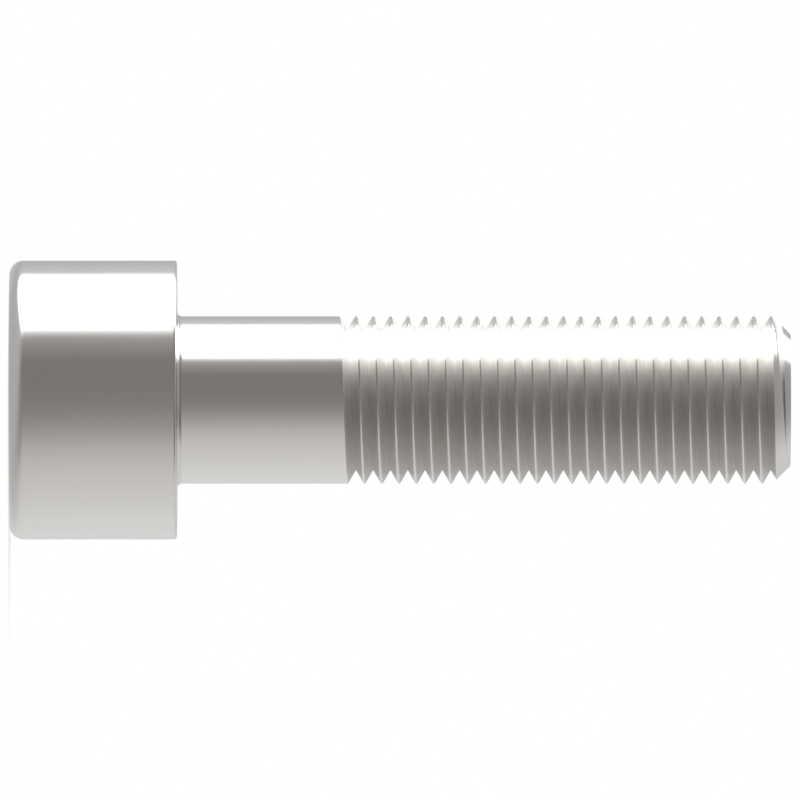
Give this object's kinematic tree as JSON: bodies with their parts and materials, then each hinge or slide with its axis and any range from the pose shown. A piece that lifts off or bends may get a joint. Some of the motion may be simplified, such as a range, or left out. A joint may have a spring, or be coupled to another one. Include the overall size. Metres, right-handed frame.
{
  "type": "socket head cap screw",
  "caption": "Cap screw with a cylindrical head, a hex socket, a short plain shank and a fine right-hand thread with a bevelled tip.",
  "frame": {"origin": "centre of the bearing face under the head, on the screw's axis", "axes": "+Z along the shank from the head to the tip, so that the screw stands on its head; +X through the point where the first thread groove starts"},
  "size_m": [0.01, 0.01, 0.028],
  "materials": {
    "steel": "bright, turned and rolled, lightly satin"
  },
  "bodies": {
    "root": {"screw": "steel"}
  },
  "joints": []
}
